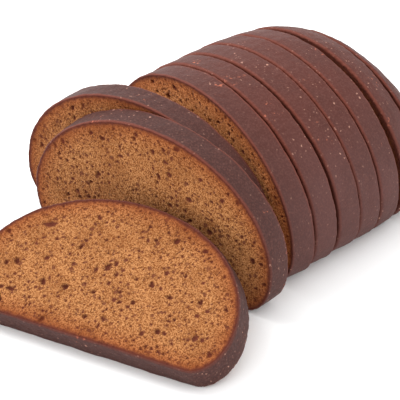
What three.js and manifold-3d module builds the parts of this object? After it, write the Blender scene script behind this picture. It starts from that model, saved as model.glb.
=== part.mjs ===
// The end of a dark rye loaf, baked free on a hearth and cut into slices. Most of the slices still stand in
// a row on their bases, heel last. The first three have slid forward at the foot and lean back: the third on
// the row, the second on the third, and the first, lying low, on the second.
//
// Millimetres. X runs across the loaf, Y along it towards the heel, and Z is up from the surface it stands on.
// The origin is on that surface, at the middle of the space that all the slices take up.
import * as THREE from "three";
import { mergeVertices } from "three/addons/utils/BufferGeometryUtils.js";
import Module from "manifold-3d";

const wasm = await Module();
wasm.setup();

// The uncut loaf. Its length is what has been eaten, the slices and the heel together.
const LOAF_WIDTH = 125;
const LOAF_HEIGHT = 68;
const SIDE_HEIGHT = 18.9; // where the sides are widest, above the base
const SIDE_OVERHANG = 13.2; // how far each side bulges out past the flat base
const END_CURL = 6; // the last stretch at each end, where the underside curls up

// How the loaf closes at its ends, seen from above and in the height of its crown. A higher fullness keeps it
// full for longer, and a higher taper closes it faster from there.
const ENDS_ACROSS = { fullness: 3.7, taper: 0.236 };
const ENDS_OF_CROWN = { fullness: 5.2, taper: 0.494 };

// The cuts.
const SLICE_THICKNESS = 11.8;
const HEEL_LENGTH = 19;
const EATEN_LENGTH = 29; // the first heel and a slice
const TOUCH = 0.35; // the gap that leaning slices keep where they touch
const ROW_GAP = 0.7; // the gap that standing slices keep, as crumbs hold them apart
const WIDE_GAP = 2; // the gap where the row has opened

// How the slices stand, from the first one to the heel. In degrees, each leans back by `lean` on its back
// lower edge and is turned by `turn`. It is `aside` of the row's middle, and keeps `gap` to what is behind it.
const STANCES = [
  { lean: 65.1, turn: 25.1, aside: 43.7, gap: TOUCH },
  { lean: 3.2, turn: 16.2, aside: 10.8, gap: TOUCH },
  { lean: 2.9, turn: 15.2, aside: -7.4, gap: TOUCH },
  { lean: 0, turn: -0.4, aside: 1.2, gap: ROW_GAP },
  { lean: 0, turn: 0.2, aside: -0.4, gap: ROW_GAP },
  { lean: 0, turn: 0.9, aside: -1.5, gap: ROW_GAP },
  { lean: 0, turn: 0.9, aside: -2.4, gap: ROW_GAP },
  { lean: 0, turn: 1.0, aside: -2.9, gap: WIDE_GAP },
  { lean: 0, turn: 1.7, aside: -3.6, gap: ROW_GAP },
  { lean: 0, turn: 2.1, aside: -3.5 },
];
const SLICES = STANCES.length - 1;
const LOAF_LENGTH = EATEN_LENGTH + SLICES * SLICE_THICKNESS + HEEL_LENGTH;

// Steps of the loaf's surface. A sixth of the way round is the flat base, and a sixth each lower corner.
const STEPS_AROUND = 72;
const STEPS_ALONG = 30;

const CRUMB = new THREE.Color(0xb8804f);
const CRUST = new THREE.Color(0x6b4a42);

// A point of the cross-section at its fullest. `angle` runs round it from the side at +X, over the crown.
// Returns the offset across, and the height above the widest part as a share of the crown or of the corner.
function sectionPoint(angle) {
  const cornerAngle = Math.PI / 3;
  const halfWidth = LOAF_WIDTH / 2;
  const halfBase = halfWidth - SIDE_OVERHANG;
  if (angle <= Math.PI) {
    return { across: halfWidth * Math.cos(angle), rise: Math.sin(angle) };
  }
  const below = Math.min(angle - Math.PI, 2 * Math.PI - angle);
  const side = angle < 1.5 * Math.PI ? -1 : 1;
  if (below < cornerAngle) {
    const turned = (below / cornerAngle) * (Math.PI / 2);
    return { across: side * (halfBase + SIDE_OVERHANG * Math.cos(turned)), rise: -Math.sin(turned) };
  }
  const towardsMiddle = (below - cornerAngle) / (Math.PI / 2 - cornerAngle);
  return { across: side * halfBase * (1 - towardsMiddle), rise: -1 };
}

// The share of its full size that the loaf has at `along`, which is 0 at its middle and 1 and -1 at its ends.
function shareLeft(along, ends) {
  return Math.max(0, 1 - Math.abs(along) ** ends.fullness) ** ends.taper;
}

// The uncut loaf, from a sphere whose poles are the loaf's two ends.
function wholeLoaf() {
  const sphere = new THREE.SphereGeometry(1, STEPS_AROUND, STEPS_ALONG);
  const points = sphere.getAttribute("position");
  const halfLength = LOAF_LENGTH / 2;
  for (let i = 0; i < points.count; i += 1) {
    const along = THREE.MathUtils.clamp(points.getY(i), -1, 1);
    const angle = (Math.atan2(points.getZ(i), points.getX(i)) + 2 * Math.PI) % (2 * Math.PI);
    const section = sectionPoint(angle);
    const curl = Math.max(0, 1 - ((1 - Math.abs(along)) * halfLength) / END_CURL);
    const above = (LOAF_HEIGHT - SIDE_HEIGHT) * shareLeft(along, ENDS_OF_CROWN);
    const below = SIDE_HEIGHT * Math.sqrt(1 - curl * curl);
    const height = SIDE_HEIGHT + section.rise * (section.rise > 0 ? above : below);
    points.setXYZ(i, section.across * shareLeft(along, ENDS_ACROSS), along * halfLength, height);
  }
  return sphere;
}

function solidFrom(geometry) {
  const bare = geometry.clone();
  bare.deleteAttribute("normal");
  bare.deleteAttribute("uv");
  const merged = mergeVertices(bare, 1e-4);
  return new wasm.Manifold(
    new wasm.Mesh({
      numProp: 3,
      vertProperties: new Float32Array(merged.getAttribute("position").array),
      triVerts: new Uint32Array(merged.index.array),
    }),
  );
}

function geometryFrom(solid) {
  const mesh = solid.getMesh();
  const geometry = new THREE.BufferGeometry();
  geometry.setAttribute("position", new THREE.BufferAttribute(new Float32Array(mesh.vertProperties), 3));
  geometry.setIndex(new THREE.BufferAttribute(new Uint32Array(mesh.triVerts), 1));
  return geometry;
}

// The piece of the loaf between two cuts, moved so that its back cut is at y = 0.
function pieceBetween(loaf, frontCut, backCut) {
  const slab = new THREE.BoxGeometry(2 * LOAF_WIDTH, backCut - frontCut, 3 * LOAF_HEIGHT);
  slab.translate(0, (frontCut + backCut) / 2, 0);
  return geometryFrom(loaf.intersect(solidFrom(slab))).translate(0, -backCut, 0);
}

// The corners of a piece's cut face, in order, which lies at the given y in the piece's own frame.
function cutOutline(geometry, y) {
  const points = geometry.getAttribute("position");
  const outline = [];
  for (let i = 0; i < points.count; i += 1) {
    const point = new THREE.Vector3().fromBufferAttribute(points, i);
    if (Math.abs(point.y - y) < 0.01) outline.push(point);
  }
  const bearing = (point) => Math.atan2(point.z - SIDE_HEIGHT, point.x);
  return outline.sort((a, b) => bearing(a) - bearing(b));
}

// The least distance from one cut face's corners to the plane of another, counting the corners that lie
// opposite that other face. `side` is 1 where free space is towards +Y of the other face, and -1 where it
// is towards -Y.
function leastDistance(from, outline, to, face, side) {
  const intoFace = to.matrixWorld.clone().invert().multiply(from.matrixWorld);
  let least = Infinity;
  for (const corner of outline) {
    const p = corner.clone().applyMatrix4(intoFace);
    const isOpposite = face.every((a, i) => {
      const b = face[(i + 1) % face.length];
      return (b.x - a.x) * (p.z - a.z) >= (b.z - a.z) * (p.x - a.x);
    });
    if (isOpposite) least = Math.min(least, side * (p.y - face[0].y));
  }
  return least;
}

// How far a piece's back cut is from the front cut of a piece behind it.
function gapBetween(piece, behind) {
  return Math.min(
    leastDistance(piece.mesh, piece.backOutline, behind.mesh, behind.frontOutline, -1),
    leastDistance(behind.mesh, behind.frontOutline, piece.mesh, piece.backOutline, 1),
  );
}

// Slides a piece along Y until it keeps only its gap to the pieces behind it.
function slideUpTo(piece, standing, gap) {
  let near = standing[standing.length - 1].mesh.position.y;
  let far = near - 2 * LOAF_HEIGHT;
  while (near - far > 0.001) {
    piece.mesh.position.y = (near + far) / 2;
    piece.mesh.updateMatrixWorld(true);
    const isClear = standing.every((behind) => gapBetween(piece, behind) >= gap);
    if (isClear) far = piece.mesh.position.y;
    else near = piece.mesh.position.y;
  }
  piece.mesh.position.y = far;
  piece.mesh.updateMatrixWorld(true);
}

function heel(loaf) {
  const length = HEEL_LENGTH;
  const geometry = pieceBetween(loaf, LOAF_LENGTH / 2 - length, LOAF_LENGTH / 2);
  const mesh = new THREE.Mesh(geometry, new THREE.MeshStandardMaterial({ color: CRUST, roughness: 0.7 }));
  mesh.name = "heel";
  return { mesh, frontOutline: cutOutline(geometry, -length), backOutline: [] };
}

function slice(loaf, index) {
  const frontCut = EATEN_LENGTH + index * SLICE_THICKNESS - LOAF_LENGTH / 2;
  const geometry = pieceBetween(loaf, frontCut, frontCut + SLICE_THICKNESS);
  const mesh = new THREE.Mesh(geometry, new THREE.MeshStandardMaterial({ color: CRUMB, roughness: 0.9 }));
  mesh.name = `slice_${String(index + 1).padStart(2, "0")}`;
  return { mesh, frontOutline: cutOutline(geometry, -SLICE_THICKNESS), backOutline: cutOutline(geometry, 0) };
}

function lean(piece, stance) {
  piece.mesh.rotation.order = "ZXY";
  piece.mesh.rotation.z = THREE.MathUtils.degToRad(stance.turn);
  piece.mesh.rotation.x = -THREE.MathUtils.degToRad(stance.lean);
  piece.mesh.position.x = stance.aside;
  piece.mesh.updateMatrixWorld(true);
}

// The pieces are stood up from the heel forwards, each one against those already standing.
function standRow(loaf) {
  const row = new THREE.Group();
  const standing = [heel(loaf)];
  lean(standing[0], STANCES[SLICES]);
  row.add(standing[0].mesh);
  for (let index = SLICES - 1; index >= 0; index -= 1) {
    const piece = slice(loaf, index);
    lean(piece, STANCES[index]);
    slideUpTo(piece, standing, STANCES[index].gap);
    standing.push(piece);
    row.add(piece.mesh);
  }
  return row;
}

const row = standRow(solidFrom(wholeLoaf()));
const space = new THREE.Box3().setFromObject(row, true);
row.position.set(-(space.min.x + space.max.x) / 2, -(space.min.y + space.max.y) / 2, 0);

const slicedLoaf = new THREE.Group();
slicedLoaf.add(row);

export default slicedLoaf;
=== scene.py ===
import math
import random

import bpy
import numpy as np
from bpy.props import FloatProperty, FloatVectorProperty, IntProperty, PointerProperty
from mathutils import Matrix, Vector


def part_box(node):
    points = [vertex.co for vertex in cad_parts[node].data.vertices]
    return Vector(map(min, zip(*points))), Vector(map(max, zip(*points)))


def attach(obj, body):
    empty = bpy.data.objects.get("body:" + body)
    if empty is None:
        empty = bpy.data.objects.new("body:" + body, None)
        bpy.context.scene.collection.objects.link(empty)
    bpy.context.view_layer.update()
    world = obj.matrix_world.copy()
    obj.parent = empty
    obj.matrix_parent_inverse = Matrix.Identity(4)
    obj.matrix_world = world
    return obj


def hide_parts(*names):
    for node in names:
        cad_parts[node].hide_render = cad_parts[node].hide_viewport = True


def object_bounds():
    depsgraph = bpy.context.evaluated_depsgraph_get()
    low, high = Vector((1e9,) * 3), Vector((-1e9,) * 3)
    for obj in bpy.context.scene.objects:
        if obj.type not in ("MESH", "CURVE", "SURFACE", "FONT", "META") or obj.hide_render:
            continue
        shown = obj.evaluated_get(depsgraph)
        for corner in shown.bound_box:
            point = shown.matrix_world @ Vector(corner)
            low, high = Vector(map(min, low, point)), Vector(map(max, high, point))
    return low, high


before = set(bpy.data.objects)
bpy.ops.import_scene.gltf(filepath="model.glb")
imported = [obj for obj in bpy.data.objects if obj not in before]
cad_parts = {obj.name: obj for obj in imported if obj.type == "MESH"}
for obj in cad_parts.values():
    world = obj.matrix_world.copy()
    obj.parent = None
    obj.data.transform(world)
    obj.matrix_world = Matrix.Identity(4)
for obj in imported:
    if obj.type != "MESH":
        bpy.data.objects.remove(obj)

CAD_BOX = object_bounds()

bl_info = {
    "name": "Sliced Rye Loaf",
    "version": (1, 0, 0),
    "blender": (4, 5, 0),
    "location": "View3D > Sidebar > Rye Loaf",
    "description": "Bakes crust and crumb on the slices of a dark rye loaf, and sets up a white studio",
    "category": "Object",
}

# The bench frame is in millimetres. A piece lies in it with its front cut at y = 0, x across it and z up it.
MM = 0.001
LEANING = ("slice_01", "slice_02", "slice_03")
FIRST_STANDING = "slice_04"
LATER_STANDING = tuple(f"slice_{number:02d}" for number in range(5, 10))
HEEL = "heel"
ON_PLANE = 0.05  # how near to a cut, in millimetres, still counts as on it
NEAR_CUT = 0.6  # how near to a cut, in millimetres, the remeshed surface belongs to it
LONGEST_SIDE = 9.0  # an outline's longer sides, in millimetres, are straight and get points along them
PAINTED_LIGHT = 1.4  # painted light: how many times paler the first standing slice's crumb is made, to light a face that the lamp leaves in shade
PAINTED_GAP_SHADE = 2.8  # painted shade: how many times wider the dark rim is in the closed row, standing in for the shade in the narrow gaps between slices, where only the rims show
FEW_HOLES = 0.3  # the share of the holes that a hidden cut face in the closed row gets

# Smallest and largest half length of the modelled holes, in millimetres.
LARGE_HOLE = (1.0, 1.7)
MEDIUM_HOLE = (0.65, 1.0)
SMALL_HOLE = (0.4, 0.6)
DEEPEST_HOLE = 2.2  # millimetres

# Patterns of dots: cells for each metre, a dot's radius in cells, the share of cells with a dot, and a salt.
# Bubbles and pores are dents in the crumb's bump and also dark dots of painted shade for its small cavities.
BUBBLES = ((1000, 0.42, 0.7, 1.0), (480, 0.34, 0.4, 2.0))
PORES = ((300, 0.38, 0.4, 4.0), (520, 0.34, 0.35, 6.0))
FLOUR = (380, 0.2, 0.55, 3.0)
BRAN = (650, 0.26, 0.35, 5.0)
FLAKES = (520, 0.4, 0.5, 7.0)
VARIED = 0.9  # how much the dots of a crust differ from each other, from 0 to 1

SOFT_BOX_SIZE = 0.9
SOFT_BOX_PLACE = (-0.85, -0.35, 0.95)

# Big holes in the front slice's crumb: across and up from the middle of its base, half length and half
# width, all in millimetres, and the turn in degrees.
FRONT_HOLES = (
    (-36.0, 45.0, 3.3, 1.3, 20),
    (-3.5, 34.0, 1.9, 1.3, 80),
    (-16.5, 20.0, 1.6, 1.3, 10),
    (-38.0, 12.0, 1.4, 1.2, 0),
)


# ---------------------------------------------------------------- settings

class CrumbSettings(bpy.types.PropertyGroup):
    colour: FloatVectorProperty(
        name="Crumb", description="Colour of the cut crumb", subtype="COLOR",
        default=(0.285, 0.104, 0.030), min=0, max=1)
    shade: FloatVectorProperty(
        name="Crumb shade", description="Colour between the crumb's grains", subtype="COLOR",
        default=(0.168, 0.0465, 0.0085), min=0, max=1)
    light: FloatVectorProperty(
        name="Crumb light", description="Colour of the palest grains", subtype="COLOR",
        default=(0.530, 0.240, 0.090), min=0, max=1)
    # Painted shade: the colour that darkens the modelled holes and the pores.
    hole_shade: FloatVectorProperty(
        name="Hole", description="Colour inside the holes", subtype="COLOR",
        default=(0.115, 0.027, 0.014), min=0, max=1)
    large: IntProperty(name="Large holes", description="Holes of about 2.5 mm in a cut face", default=42)
    medium: IntProperty(name="Medium holes", description="Holes of about 1.6 mm in a cut face", default=150)
    small: IntProperty(name="Small holes", description="Holes of about 1 mm in a cut face", default=330)
    seed: IntProperty(name="Seed", description="Changes where the holes fall", default=7)


class CrustSettings(bpy.types.PropertyGroup):
    colour: FloatVectorProperty(
        name="Crust", description="Colour of the crust on the sides", subtype="COLOR",
        default=(0.091, 0.0375, 0.0335), min=0, max=1)
    crown: FloatVectorProperty(
        name="Crown", description="Colour of the crust on the crown", subtype="COLOR",
        default=(0.080, 0.0222, 0.0163), min=0, max=1)
    dark: FloatVectorProperty(
        name="Dark crust", description="Colour of the crust towards the eaten end, and of its darker clouds",
        subtype="COLOR", default=(0.047, 0.0180, 0.0150), min=0, max=1)
    grit: FloatVectorProperty(
        name="Grit", description="Colour of the crust's fine grit", subtype="COLOR",
        default=(0.150, 0.060, 0.048), min=0, max=1)
    speck: FloatVectorProperty(
        name="Specks", description="Colour of the specks of bran and flour", subtype="COLOR",
        default=(0.40, 0.21, 0.155), min=0, max=1)
    flake: FloatVectorProperty(
        name="Flakes", description="Colour of the flakes of bran that lie in patches", subtype="COLOR",
        default=(0.40, 0.120, 0.070), min=0, max=1)
    under: FloatVectorProperty(
        name="Under the crust", description="Colour of the crumb that touches the crust", subtype="COLOR",
        default=(0.090, 0.0195, 0.0118), min=0, max=1)
    edge: FloatVectorProperty(
        name="Cut edge", description="Colour of the crust along the edge of a cut", subtype="COLOR",
        default=(0.170, 0.041, 0.024), min=0, max=1)
    rim: FloatVectorProperty(
        name="Rim", description="Colour of the crumb near the crust", subtype="COLOR",
        default=(0.225, 0.056, 0.016), min=0, max=1)
    warmth: FloatVectorProperty(
        name="Warmth", description="Tint of the crumb towards the crust", subtype="COLOR",
        default=(0.83, 0.68, 0.62), min=0, max=1)
    thickness: FloatProperty(
        name="Crust thickness", description="Thickness of the dark crust, in millimetres", default=0.5)
    rim_width: FloatProperty(
        name="Rim width", description="Width of the darker crumb inside the crust, in millimetres",
        default=2.2)
    waves: FloatProperty(
        name="Waves", description="Height of the crust's soft waves, in millimetres", default=0.3)
    lumps: FloatProperty(
        name="Lumps", description="Height of the crust's small lumps, in millimetres", default=0.12)


class MeshSettings(bpy.types.PropertyGroup):
    fine: FloatProperty(
        name="Fine step", description="Mesh step of slices whose cut face shows, in millimetres",
        default=0.46)
    plain: FloatProperty(
        name="Plain step", description="Mesh step of the other pieces, in millimetres", default=0.8)


class StudioSettings(bpy.types.PropertyGroup):
    azimuth: FloatProperty(
        name="Azimuth", description="Camera's turn round the loaf from its front", subtype="ANGLE",
        default=math.radians(52.02))
    elevation: FloatProperty(
        name="Elevation", description="Camera's height above the horizon", subtype="ANGLE",
        default=math.radians(34.52))
    distance: FloatProperty(
        name="Distance", description="Camera's distance from what it looks at", subtype="DISTANCE",
        default=1.063)
    lens: FloatProperty(name="Lens", description="Focal length, in millimetres", default=219.6)
    aim: FloatVectorProperty(
        name="Aim", description="What the camera looks at, from the middle of the first standing slice's "
        "front lower edge", subtype="TRANSLATION", default=(-0.0055, 0.0041, 0.0083))
    sky: FloatProperty(name="Sky", description="Strength of the light from all round", default=1.5)
    key: FloatProperty(
        name="Key light", description="Power of the soft box overhead", subtype="POWER", default=12)


def settings():
    return bpy.context.scene.rye_loaf


# ---------------------------------------------------------------- meshes

def make_active(piece):
    bpy.ops.object.select_all(action="DESELECT")
    piece.select_set(True)
    bpy.context.view_layer.objects.active = piece


def copy_of_node(node):
    """A copy of a plain solid, with its loose triangles joined up."""
    piece = bpy.data.objects.new("rye_" + node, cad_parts[node].data.copy())
    bpy.context.scene.collection.objects.link(piece)
    make_active(piece)
    bpy.ops.object.mode_set(mode="EDIT")
    bpy.ops.mesh.select_all(action="SELECT")
    bpy.ops.mesh.remove_doubles(threshold=0.001 * MM)
    bpy.ops.object.mode_set(mode="OBJECT")
    return piece


def get_points(mesh):
    points = np.empty(len(mesh.vertices) * 3, np.float32)
    mesh.vertices.foreach_get("co", points)
    return points.reshape(-1, 3).astype(float)


def set_points(mesh, points):
    mesh.vertices.foreach_set("co", points.astype(np.float32).ravel())
    mesh.update()


def front_cut_normal(mesh):
    """Outward normal of the big flat face that looks to the front."""
    count = len(mesh.polygons)
    normals, areas = np.empty(count * 3, np.float32), np.empty(count, np.float32)
    mesh.polygons.foreach_get("normal", normals)
    mesh.polygons.foreach_get("area", areas)
    normals = normals.reshape(-1, 3)
    rounded, group = np.unique(np.round(normals, 2) + 0.0, axis=0, return_inverse=True)
    group = group.ravel()
    area = np.bincount(group, areas)
    big = [k for k in range(len(rounded)) if area[k] > 0.5 * area.max()]
    front = min(big, key=lambda k: rounded[k][1])
    return Vector((normals[group == front] * areas[group == front, None]).sum(0)).normalized()


def lay_on_bench(mesh):
    """Moves a piece from its place to the bench, and returns the matrix that puts it back."""
    normal = front_cut_normal(mesh)
    across = Vector((-normal.y, normal.x, 0)).normalized()
    up = normal.cross(across)
    points = get_points(mesh)
    sideways, upright, depth = (points @ np.array(axis) for axis in (across, up, -normal))
    origin = across * (sideways.min() + sideways.max()) / 2 + up * upright.min() - normal * depth.min()
    turn = Matrix((across, -normal, up)).transposed().to_4x4()
    place = Matrix.Translation(origin) @ turn @ Matrix.Scale(MM, 4)
    mesh.transform(place.inverted())
    return place


def cut_outline(points, y):
    """The cut face's outline at y, anticlockwise, as (x, z) rows, with points along its straight base."""
    corners = points[np.abs(points[:, 1] - y) < ON_PLANE][:, [0, 2]]
    middle = (corners.min(0) + corners.max(0)) / 2
    bearing = np.arctan2(corners[:, 1] - middle[1], corners[:, 0] - middle[0])
    corners = corners[np.argsort(bearing)]
    outline = []
    for start, end in zip(corners, np.roll(corners, -1, axis=0)):
        parts = max(1, math.ceil(math.hypot(*(end - start)) / LONGEST_SIDE))
        outline += [start + (end - start) * k / parts for k in range(parts)]
    return np.array(outline)


def distance_inside(outline, x, z):
    """Distance from points to the nearest side of a convex outline, positive inside it."""
    nearest = np.full(len(x), np.inf)
    for (ax, az), (bx, bz) in zip(outline, np.roll(outline, -1, axis=0)):
        length = math.hypot(bx - ax, bz - az)
        if length > 1e-6:
            nearest = np.minimum(nearest, ((bx - ax) * (z - az) - (bz - az) * (x - ax)) / length)
    return nearest


def round_off(points, outline):
    """Bulges the flat facets of the crust out into one smooth curve through the outline's corners."""
    middle = (outline.min(0) + outline.max(0)) / 2
    corners = outline - middle
    angle = np.unwrap(np.arctan2(corners[:, 1], corners[:, 0]))
    radius = np.hypot(*corners.T)
    around = np.concatenate((angle[-2:] - 2 * math.pi, angle, angle[:2] + 2 * math.pi))
    radii = np.concatenate((radius[-2:], radius, radius[:2]))
    slope = (radii[2:] - radii[:-2]) / (around[2:] - around[:-2])
    here = points[:, [0, 2]] - middle
    bearing = np.arctan2(here[:, 1], here[:, 0])
    bearing = np.where(bearing < angle[0], bearing + 2 * math.pi, bearing)
    k = np.clip(np.searchsorted(around, bearing, side="right") - 1, 1, len(around) - 3)
    a, b, step = radii[k], radii[k + 1], around[k + 1] - around[k]
    t = (bearing - around[k]) / step
    smooth = ((1 + 2 * t) * (1 - t) ** 2 * a + t * (1 - t) ** 2 * step * slope[k - 1]
              + t * t * (3 - 2 * t) * b - t * t * (1 - t) * step * slope[k])
    flat = a * b * np.sin(step) / (a * np.sin(t * step) + b * np.sin((1 - t) * step))
    points[:, [0, 2]] = middle + here * (smooth / flat)[:, None]
    return points


def remesh(piece, step):
    """Covers a piece with even quads of the given step."""
    make_active(piece)
    modifier = piece.modifiers.new("even_quads", "REMESH")
    modifier.mode = "VOXEL"
    modifier.voxel_size = step
    bpy.ops.object.modifier_apply(modifier=modifier.name)


def smoothstep(value, low, high):
    t = np.clip((value - low) / (high - low), 0, 1)
    return t * t * (3 - 2 * t)


def group_from(piece, name, weights):
    """A vertex group from one weight for each point."""
    make_active(piece)
    add_attribute(piece.data, name, weights)
    piece.data.attributes.active = piece.data.attributes[name]
    bpy.ops.geometry.attribute_convert(mode="VERTEX_GROUP")


def roughen(piece, group, name, size, height):
    """Raises and sinks a vertex group's points by soft clouds of the given size and height in millimetres."""
    clouds = bpy.data.textures.get(name)
    if clouds is None:
        clouds = bpy.data.textures.new(name, "CLOUDS")
        clouds.noise_scale = size * MM
        clouds.noise_depth = 2
    make_active(piece)
    modifier = piece.modifiers.new(name, "DISPLACE")
    modifier.texture = clouds
    modifier.texture_coords = "LOCAL"
    modifier.vertex_group = group
    modifier.mid_level = 0.5
    modifier.strength = 2.5 * height * MM
    bpy.ops.object.modifier_apply(modifier=modifier.name)


def scatter_holes(rng, outline, counts):
    """Holes spread over a cut face that keep clear of the crust and of each other.

    Each is x, z, half length, half width and turn.
    """
    low, high = outline.min(0), outline.max(0)
    holes = []
    for count, (smallest, largest) in counts:
        for _ in range(count):
            for _ in range(30):
                x, z = rng.uniform(low[0], high[0]), rng.uniform(low[1], high[1])
                length = smallest + (largest - smallest) * rng.random() ** 2
                width = length * rng.uniform(0.6, 0.95)
                clear_of_crust = distance_inside(outline, np.array([x]), np.array([z]))[0] > length + 1.2
                if clear_of_crust and all(
                    math.hypot(x - h[0], z - h[1]) > length + h[2] + 0.15 for h in holes
                ):
                    holes.append((x, z, length, width, rng.uniform(0, math.pi)))
                    break
    return holes


def sink_holes(rng, points, on_face, into, holes):
    """Pushes the holes into a cut face, and returns how far into the holes each point lies, from 0 to 1: the
    share of painted shade there.
    """
    inside = np.zeros(len(points))
    order = np.argsort(points[:, 0])
    order = order[on_face[order]]
    xs = points[order, 0]
    for x, z, length, width, turn in holes:
        reach = length * 1.35
        near = order[np.searchsorted(xs, x - reach):np.searchsorted(xs, x + reach)]
        dx, dz = points[near, 0] - x, points[near, 2] - z
        along = (dx * math.cos(turn) + dz * math.sin(turn)) / length
        aside = (dz * math.cos(turn) - dx * math.sin(turn)) / width
        bearing = np.arctan2(aside, along)
        lobes, phase = rng.choice((2, 3)), rng.uniform(0, 2 * math.pi)
        edge = 1 + 0.14 * np.sin(lobes * bearing + phase) + 0.08 * np.sin(5 * bearing + 2 * phase)
        share = np.hypot(along, aside) / edge
        depth = min(width * rng.uniform(0.35, 1.1), DEEPEST_HOLE)
        bowl = np.sqrt(np.clip(1 - share ** 2, 0, 1))
        hit = near[bowl > 0]
        points[hit, 1] += into * depth * bowl[bowl > 0]
        inside[near] = np.maximum(inside[near], 1 - smoothstep(share, 0.72, 1.12))
    return inside


def add_attribute(mesh, name, values):
    mesh.attributes.new(name, "FLOAT", "POINT").data.foreach_set("value", values.astype(np.float32))


def bake(node, step, counts, own_holes=(), gap_shade_scale=1.0, painted_light_scale=1.0):
    """Turns a plain solid into a piece of bread: an even mesh, a rough crust and cut faces full of holes.

    Its last two arguments widen the dark rims of its cut faces, as painted shade for the gaps between the
    standing slices, and multiply the colour of its crumb, as painted light for a face that the lamp leaves in
    shade.
    """
    rng = random.Random(f"{settings().crumb.seed} {node}")
    crust = settings().crust
    piece = copy_of_node(node)
    place = lay_on_bench(piece.data)
    corners = get_points(piece.data)
    back = corners[:, 1].max()
    outlines = {0.0: cut_outline(corners, 0.0)}
    if node != HEEL:
        outlines[back] = cut_outline(corners, back)
    remesh(piece, step)
    mesh = piece.data
    points = round_off(get_points(mesh), outlines[0.0])

    from_crust = np.zeros(len(points))
    hole_shade = np.zeros(len(points))
    for y, outline in outlines.items():
        on_face = np.abs(points[:, 1] - y) < NEAR_CUT
        inward = np.clip(distance_inside(outline, points[on_face, 0], points[on_face, 2]), 0, None)
        from_crust[on_face] = np.maximum(from_crust[on_face], inward)
        into = 1 if y == 0.0 else -1
        own = [(x, z, length, width, math.radians(turn)) for x, z, length, width, turn in own_holes]
        holes = (own if into == 1 else []) + scatter_holes(rng, outline, counts)
        hole_shade = np.maximum(hole_shade, sink_holes(rng, points, on_face, into, holes))
    set_points(mesh, points)
    # In the closed row the distance from the crust is shrunk, so the dark rims widen into painted shade for
    # the gaps between slices.
    add_attribute(mesh, "from_crust", from_crust / gap_shade_scale)
    # The share inside a hole sets the painted shade there.
    add_attribute(mesh, "hole_shade", hole_shade)
    add_attribute(mesh, "from_cut", np.min([np.abs(points[:, 1] - y) for y in outlines], axis=0))
    # Painted light: the first standing slice's crumb is made paler; the other pieces keep 1.
    add_attribute(mesh, "painted_light_scale", np.full(len(points), painted_light_scale))
    mesh.transform(place)

    on_crust = 1 - smoothstep(from_crust, 0.2, 1.0)
    group_from(piece, "crust", on_crust)
    group_from(piece, "crumb", 1 - on_crust)
    roughen(piece, "crust", "waves", 16, crust.waves)
    roughen(piece, "crust", "lumps", 4, crust.lumps)
    roughen(piece, "crumb", "crumb_grain", 1.1, crust.lumps)
    world = get_points(mesh)
    world[:, 2] = np.maximum(world[:, 2], CAD_BOX[0].z)
    set_points(mesh, world)
    mesh.shade_smooth()
    mesh.materials.clear()
    mesh.materials.append(bread_material())
    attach(piece, "root")
    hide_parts(node)
    return piece


# ---------------------------------------------------------------- materials

def add(tree, kind, properties=None, **inputs):
    """Adds a shader node. Inputs are named as on the node, and are values or the sockets to link."""
    node = tree.nodes.new(kind)
    for name, value in (properties or {}).items():
        setattr(node, name, value)
    for name, value in inputs.items():
        socket = node.inputs[name.replace("_", " ")]
        if isinstance(value, bpy.types.NodeSocket):
            tree.links.new(value, socket)
        else:
            socket.default_value = value
    return node


def attribute(tree, name):
    return add(tree, "ShaderNodeAttribute", {"attribute_name": name}).outputs["Fac"]


def noise_value(tree, where, scale, detail=2.0, roughness=0.5):
    noise = add(tree, "ShaderNodeTexNoise", Vector=where, Scale=scale, Detail=detail, Roughness=roughness)
    return noise.outputs[0]


def spread(tree, value, low, high, to_low=0.0, to_high=1.0):
    """Maps low..high smoothly to to_low..to_high."""
    node = add(tree, "ShaderNodeMapRange", {"interpolation_type": "SMOOTHSTEP"}, Value=value)
    for name, number in (("From Min", low), ("From Max", high), ("To Min", to_low), ("To Max", to_high)):
        node.inputs[name].default_value = number
    return node.outputs[0]


def maths(tree, operation, first, second):
    node = tree.nodes.new("ShaderNodeMath")
    node.operation = operation
    for socket, value in zip(node.inputs, (first, second)):
        if isinstance(value, bpy.types.NodeSocket):
            tree.links.new(value, socket)
        else:
            socket.default_value = value
    return node.outputs[0]


def blend(tree, share, first, second, kind="MIX"):
    """Mixes two colours by a share from 0 to 1."""
    node = tree.nodes.new("ShaderNodeMix")
    node.data_type, node.blend_type = "RGBA", kind
    for socket, value in ((node.inputs[0], share), (node.inputs[6], first), (node.inputs[7], second)):
        if isinstance(value, bpy.types.NodeSocket):
            tree.links.new(value, socket)
        elif isinstance(value, float):
            socket.default_value = value
        else:
            socket.default_value = (*value, 1.0)
    return node.outputs[2]


def dots(tree, where, scale, size, share, salt, variety=0.5):
    """Dots in a share of a pattern's cells, up to 1 inside a dot. Size is the dot's radius in cells."""
    cells = add(tree, "ShaderNodeTexVoronoi", {"feature": "F1"}, Vector=where, Scale=scale, Randomness=0.9)
    centre = cells.outputs["Position"]
    pick = add(tree, "ShaderNodeTexWhiteNoise", {"noise_dimensions": "4D"}, Vector=centre, W=salt)
    chosen = spread(tree, pick.outputs["Value"], share, share * (1 - variety))
    ragged = spread(tree, noise_value(tree, where, scale * 2.5), 0.3, 0.7, 1 - 0.5 * variety, 1 + variety)
    distance = maths(tree, "MULTIPLY", cells.outputs["Distance"], ragged)
    return maths(tree, "MULTIPLY", spread(tree, distance, size, size * 0.5), chosen)


def two_sizes_of_dots(tree, where, patterns):
    return maths(tree, "MAXIMUM", *(dots(tree, where, *pattern) for pattern in patterns))


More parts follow.
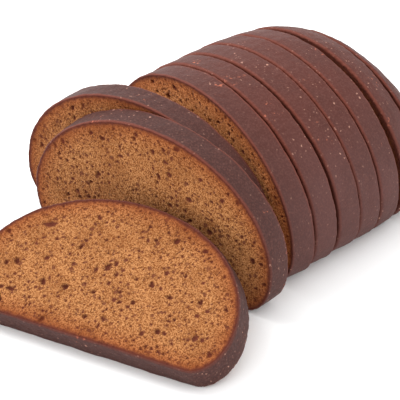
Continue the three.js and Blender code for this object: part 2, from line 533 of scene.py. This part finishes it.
def crumb_colour(tree, where, hole_shade, grain, bubbles, pores):
    """Pale cell walls with darker bubbles between them, in soft patches, and the dark holes; the bubbles, the
    pores and the holes are darkened with painted shade.
    """
    crumb = settings().crumb
    colour = blend(tree, spread(tree, grain, 0.41, 0.58), crumb.shade, crumb.light)
    colour = blend(tree, 0.12, colour, crumb.colour)
    colour = blend(tree, maths(tree, "MULTIPLY", bubbles, 0.6), colour, crumb.shade)
    patches = spread(tree, noise_value(tree, where, 60, 4, 0.6), 0.4, 0.7, 0.0, 0.4)
    colour = blend(tree, patches, colour, crumb.shade)
    # Painted light: the first standing slice's crumb is scaled paler, for a face that the lamp leaves in
    # shade.
    painted_light_scale = attribute(tree, "painted_light_scale")
    scaled = add(tree, "ShaderNodeVectorMath", {"operation": "SCALE"}, Vector=colour, Scale=painted_light_scale)
    colour = scaled.outputs[0]
    # Painted shade: the pores and the holes take the dark colour of the shade in them.
    colour = blend(tree, maths(tree, "MULTIPLY", pores, 0.8), colour, crumb.hole_shade)
    return blend(tree, hole_shade, colour, crumb.hole_shade)


def crust_colour(tree, where):
    """Clouded dark crust with specks of bran and flour."""
    crust = settings().crust
    position = add(tree, "ShaderNodeSeparateXYZ", Vector=where)
    clouds = noise_value(tree, where, 45, 6, 0.65)
    cloudy_height = maths(tree, "ADD", position.outputs["Z"], maths(tree, "MULTIPLY", clouds, 0.02))
    colour = blend(tree, spread(tree, cloudy_height, 0.045, 0.075), crust.colour, crust.crown)
    eaten_end = spread(tree, position.outputs["Y"], -0.02, 0.04, 0.9, 0.0)
    darker = maths(tree, "MAXIMUM", eaten_end, spread(tree, clouds, 0.4, 0.65, 0.0, 0.3))
    colour = blend(tree, darker, colour, crust.dark)
    grit = spread(tree, noise_value(tree, where, 1100, 3, 0.7), 0.42, 0.7, 0.0, 0.4)
    colour = blend(tree, grit, colour, crust.grit)
    scraped = spread(tree, attribute(tree, "from_cut"), 0.2, 1.4, 0.65, 0.0)
    scraped = maths(tree, "MULTIPLY", scraped, spread(tree, position.outputs["Z"], 0.02, 0.06, 0.45, 1.0))
    colour = blend(tree, scraped, colour, crust.edge)
    patches = spread(tree, noise_value(tree, where, 60, 2), 0.6, 0.7)
    flakes = maths(tree, "MULTIPLY", dots(tree, where, *FLAKES, VARIED), patches)
    colour = blend(tree, flakes, colour, crust.flake)
    cluster = spread(tree, noise_value(tree, where, 28, 2), 0.42, 0.6, 0.25, 1.0)
    bran = maths(tree, "MULTIPLY", dots(tree, where, *BRAN, VARIED), 0.6)
    flour = dots(tree, where, *FLOUR, VARIED)
    specks = maths(tree, "MULTIPLY", maths(tree, "MAXIMUM", bran, flour), cluster)
    return blend(tree, specks, colour, crust.speck)


def bread_material():
    """One material for the whole slice: crust, the darker rim inside it, and crumb, with painted shade in the
    crumb's bubbles, pores and holes and, in the closed row, in the widened rims.
    """
    made = bpy.data.materials.get("rye_bread")
    if made:
        return made
    crust = settings().crust
    material = bpy.data.materials.new("rye_bread")
    material.use_nodes = True
    tree = material.node_tree
    shader = tree.nodes["Principled BSDF"]
    where = add(tree, "ShaderNodeTexCoord").outputs["Object"]
    from_crust, hole_shade = attribute(tree, "from_crust"), attribute(tree, "hole_shade")

    grain = noise_value(tree, where, 1700, 3, 0.75)
    bubbles = two_sizes_of_dots(tree, where, BUBBLES)
    pores = two_sizes_of_dots(tree, where, PORES)
    ragged = maths(tree, "ADD", noise_value(tree, where, 420, 4, 0.7), -0.5)
    depth = maths(tree, "ADD", from_crust, maths(tree, "MULTIPLY", ragged, crust.rim_width))

    colour = crumb_colour(tree, where, hole_shade, grain, bubbles, pores)
    # The warm and dark rims near the crust are the bread's own colour; in the closed row, with the shrunk
    # distance, they widen into painted shade for the gaps between slices.
    warmed = spread(tree, depth, crust.rim_width, crust.rim_width * 5.5, 1.0, 0.0)
    colour = blend(tree, warmed, colour, crust.warmth, "MULTIPLY")
    baked = spread(tree, depth, crust.thickness, crust.rim_width * 2.2, 0.7, 0.0)
    colour = blend(tree, baked, colour, crust.rim)
    scorched = spread(tree, depth, crust.thickness * 1.4, crust.rim_width * 1.1, 0.95, 0.0)
    colour = blend(tree, scorched, colour, crust.under)
    is_crust = spread(tree, from_crust, crust.thickness * 0.6, crust.thickness * 1.4, 1.0, 0.0)
    tree.links.new(blend(tree, is_crust, colour, crust_colour(tree, where)), shader.inputs["Base Color"])
    tree.links.new(spread(tree, is_crust, 0, 1, 0.9, 0.62), shader.inputs["Roughness"])
    shader.inputs["Specular IOR Level"].default_value = 0.14

    crumb_height = maths(tree, "SUBTRACT", grain, maths(tree, "MAXIMUM", bubbles, pores))
    crust_lumps, crust_grain = noise_value(tree, where, 180, 5, 0.65), noise_value(tree, where, 900, 3, 0.6)
    crust_height = maths(tree, "ADD", crust_lumps, crust_grain)
    height = tree.nodes.new("ShaderNodeMix")
    tree.links.new(is_crust, height.inputs[0])
    tree.links.new(crumb_height, height.inputs[2])
    tree.links.new(maths(tree, "MULTIPLY", crust_height, 0.6), height.inputs[3])
    bump = add(tree, "ShaderNodeBump", Strength=0.8, Distance=0.0005, Height=height.outputs[0])
    tree.links.new(bump.outputs[0], shader.inputs["Normal"])
    return material


def floor_material():
    material = bpy.data.materials.new("white_floor")
    material.use_nodes = True
    shader = material.node_tree.nodes["Principled BSDF"]
    shader.inputs["Base Color"].default_value = (0.95, 0.95, 0.95, 1)
    shader.inputs["Roughness"].default_value = 0.8
    shader.inputs["Specular IOR Level"].default_value = 0.2
    return material


# ---------------------------------------------------------------- operators

def hole_counts(share=1.0):
    """How many large, medium and small holes a cut face gets, each with its sizes."""
    crumb = settings().crumb
    sizes = ((crumb.large, LARGE_HOLE), (crumb.medium, MEDIUM_HOLE), (crumb.small, SMALL_HOLE))
    return [(round(count * share), size) for count, size in sizes]


class LOAF_OT_leaning_slices(bpy.types.Operator):
    """Bakes the slices that lean back on each other"""

    bl_idname = "loaf.leaning_slices"
    bl_label = "Leaning slices"

    def execute(self, context):
        for node in LEANING:
            own = FRONT_HOLES if node == LEANING[0] else ()
            bake(node, settings().mesh.fine, hole_counts(), own)
        return {"FINISHED"}


class LOAF_OT_standing_slices(bpy.types.Operator):
    """Bakes the slices that stand in a row"""

    bl_idname = "loaf.standing_slices"
    bl_label = "Standing slices"

    def execute(self, context):
        # The first standing slice's crumb gets painted light.
        bake(FIRST_STANDING, settings().mesh.fine, hole_counts(), painted_light_scale=PAINTED_LIGHT)
        # The closed row's dark rims are widened into painted shade for the gaps between slices.
        for node in LATER_STANDING:
            bake(node, settings().mesh.plain, hole_counts(FEW_HOLES), gap_shade_scale=PAINTED_GAP_SHADE)
        return {"FINISHED"}


class LOAF_OT_heel(bpy.types.Operator):
    """Bakes the rounded end of the loaf"""

    bl_idname = "loaf.heel"
    bl_label = "Heel"

    def execute(self, context):
        # The heel's dark rims are widened into painted shade for the gap before it.
        bake(HEEL, settings().mesh.plain, hole_counts(FEW_HOLES), gap_shade_scale=PAINTED_GAP_SHADE)
        return {"FINISHED"}


class LOAF_OT_studio(bpy.types.Operator):
    """Sets up the white floor, the soft light and the camera"""

    bl_idname = "loaf.studio"
    bl_label = "Studio"

    def execute(self, context):
        self.add_floor()
        self.add_light(context.scene)
        self.add_camera(context.scene)
        context.scene.view_settings.view_transform = "Standard"
        return {"FINISHED"}

    def add_floor(self):
        bpy.ops.mesh.primitive_plane_add(size=8, location=(0, 0, CAD_BOX[0].z))
        floor = bpy.context.object
        floor.name = "floor"
        floor.data.materials.append(floor_material())

    def add_light(self, scene):
        studio = settings().studio
        world = bpy.data.worlds.new("studio")
        world.use_nodes = True
        sky = world.node_tree.nodes["Background"]
        sky.inputs["Color"].default_value = (1, 1, 1, 1)
        sky.inputs["Strength"].default_value = studio.sky
        scene.world = world
        box = bpy.data.lights.new("soft_box", "AREA")
        box.shape = "DISK"
        box.size = SOFT_BOX_SIZE
        box.energy = studio.key
        lamp = bpy.data.objects.new("soft_box", box)
        scene.collection.objects.link(lamp)
        lamp.location = SOFT_BOX_PLACE
        lamp.rotation_euler = (-lamp.location).to_track_quat("-Z", "Y").to_euler()

    def add_camera(self, scene):
        studio = settings().studio
        low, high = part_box(FIRST_STANDING)
        target = Vector(((low.x + high.x) / 2, low.y, low.z)) + Vector(studio.aim)
        a, e = studio.azimuth, studio.elevation
        towards = Vector((math.sin(a) * math.cos(e), -math.cos(a) * math.cos(e), math.sin(e)))
        camera = bpy.data.objects.new("camera", bpy.data.cameras.new("camera"))
        scene.collection.objects.link(camera)
        camera.data.lens = studio.lens
        camera.data.sensor_width = 36
        camera.location = target + towards * studio.distance
        camera.rotation_euler = towards.to_track_quat("Z", "Y").to_euler()
        scene.camera = camera


class LOAF_PT_panel(bpy.types.Panel):
    bl_idname = "LOAF_PT_panel"
    bl_label = "Rye Loaf"
    bl_space_type = "VIEW_3D"
    bl_region_type = "UI"
    bl_category = "Rye Loaf"

    def draw(self, context):
        for operator in OPERATORS:
            self.layout.operator(operator.bl_idname)
        for group in (settings().crumb, settings().crust, settings().mesh, settings().studio):
            box = self.layout.box()
            for name in group.__annotations__:
                box.prop(group, name)


class LoafSettings(bpy.types.PropertyGroup):
    crumb: PointerProperty(type=CrumbSettings, name="Crumb", description="The cut faces")
    crust: PointerProperty(type=CrustSettings, name="Crust", description="The baked outside")
    mesh: PointerProperty(type=MeshSettings, name="Mesh", description="How fine the meshes are")
    studio: PointerProperty(type=StudioSettings, name="Studio", description="Floor, light and camera")


OPERATORS = (LOAF_OT_leaning_slices, LOAF_OT_standing_slices, LOAF_OT_heel, LOAF_OT_studio)
SETTINGS = (CrumbSettings, CrustSettings, MeshSettings, StudioSettings, LoafSettings)
CLASSES = (*SETTINGS, *OPERATORS, LOAF_PT_panel)


def register():
    for item in CLASSES:
        bpy.utils.register_class(item)
    bpy.types.Scene.rye_loaf = PointerProperty(type=LoafSettings)


def unregister():
    del bpy.types.Scene.rye_loaf
    for item in reversed(CLASSES):
        bpy.utils.unregister_class(item)


def main():
    register()
    bpy.ops.loaf.leaning_slices()
    bpy.ops.loaf.standing_slices()
    bpy.ops.loaf.heel()
    bpy.ops.loaf.studio()


if __name__ == "__main__":
    main()
